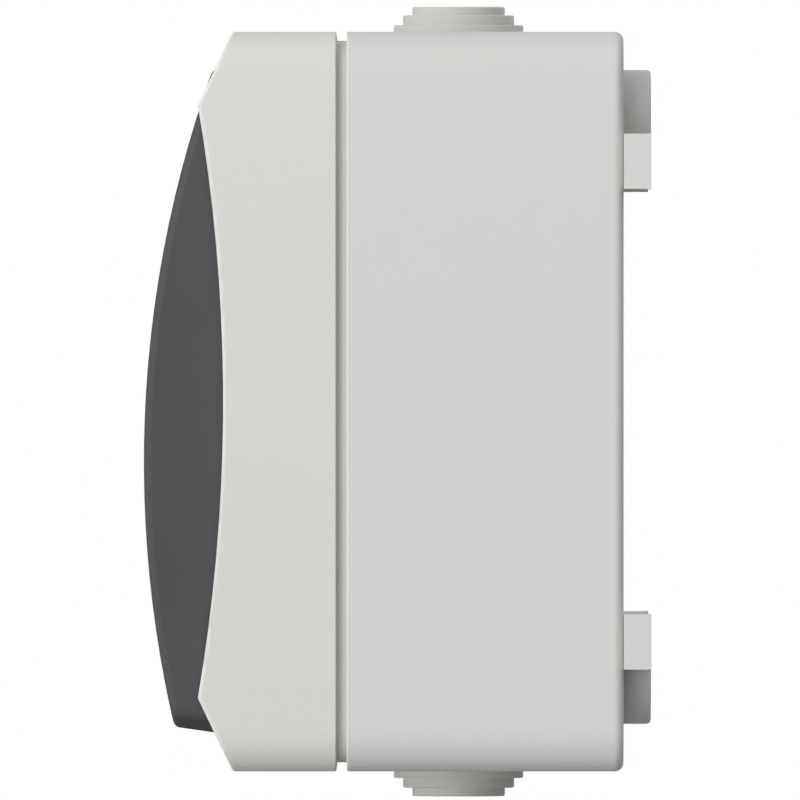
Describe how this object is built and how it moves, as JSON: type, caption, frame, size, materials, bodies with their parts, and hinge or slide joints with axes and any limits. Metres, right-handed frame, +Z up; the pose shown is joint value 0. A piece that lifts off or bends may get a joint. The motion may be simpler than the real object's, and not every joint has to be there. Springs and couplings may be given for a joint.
{
  "type": "outdoor weatherproof switch",
  "caption": "Surface-mounted weatherproof rocker switch: two-part light grey box with a dark rocker between curved cheeks, stepped cable glands and wall feet.",
  "frame": {"origin": "in the wall plane, at the middle of the four wall-screw holes", "axes": "+X across the width, +Y into the wall (the rocker faces -Y), +Z up"},
  "size_m": [0.066, 0.0578, 0.0902],
  "materials": {
    "body_plastic": "fine satin moulded ABS, light grey",
    "rocker_plastic": "fine satin moulded ABS, dark grey",
    "gasket_elastomer": "soft moulded elastomer, light grey",
    "gland_elastomer": "soft moulded elastomer, light grey",
    "boot_rubber": "soft moulded rubber, black",
    "nylon_natural": "natural nylon, slightly translucent look",
    "insulator_plastic": "moulded insulating plastic, white",
    "brass": "stamped sheet",
    "silver_alloy": "turned silver alloy",
    "spring_steel": "drawn spring wire",
    "zinc_plated_steel": "bright zinc plated"
  },
  "bodies": {
    "root": {"base_box": "body_plastic", "front_cover": "body_plastic", "cover_gasket": "gasket_elastomer", "rocker_seal": "boot_rubber", "seal_ring": "nylon_natural", "mechanism_housing": "insulator_plastic", "mechanism_cover": "insulator_plastic", "common_terminal": "brass", "upper_terminal": "brass", "lower_terminal": "brass", "fixed_contact_upper": "silver_alloy", "fixed_contact_lower": "silver_alloy", "cable_gland_top": "gland_elastomer", "cable_gland_bottom": "gland_elastomer", "cover_screw_top": "zinc_plated_steel", "cover_screw_bottom": "zinc_plated_steel", "cover_screw_seal_top": "boot_rubber", "cover_screw_seal_bottom": "boot_rubber", "mechanism_screw_upper": "zinc_plated_steel", "mechanism_screw_lower": "zinc_plated_steel", "terminal_clamp_common": "zinc_plated_steel", "terminal_screw_common": "zinc_plated_steel", "terminal_clamp_upper": "zinc_plated_steel", "terminal_screw_upper": "zinc_plated_steel", "terminal_clamp_lower": "zinc_plated_steel", "terminal_screw_lower": "zinc_plated_steel"},
    "rocker": {"rocker": "rocker_plastic", "actuator": "nylon_natural", "plunger_spring": "spring_steel"},
    "plunger": {"plunger": "nylon_natural"},
    "contact_rocker": {"contact_rocker": "brass", "moving_contact_upper": "silver_alloy", "moving_contact_lower": "silver_alloy"}
  },
  "joints": [
    {"name": "rocker_tilt", "type": "hinge", "parent": "root", "child": "rocker", "pos_m": [0, -0.045, 0], "axis": [1, 0, 0], "range_deg": [0, 6.69]},
    {"name": "plunger_slide", "type": "slide", "parent": "rocker", "child": "plunger", "axis": [0, -0.9983, 0.0583], "range_m": [0, 0.0008], "stiffness_N_per_m": 300, "springref_m": -0.002, "deforming": ["plunger_spring"]},
    {"name": "contact_tilt", "type": "hinge", "parent": "root", "child": "contact_rocker", "pos_m": [0, -0.024, 0], "axis": [1, 0, 0], "range_deg": [-16, 0]}
  ],
  "couplings": [
    {"joint": "contact_tilt", "follows": "rocker_tilt", "ratio": -2.3923}
  ]
}
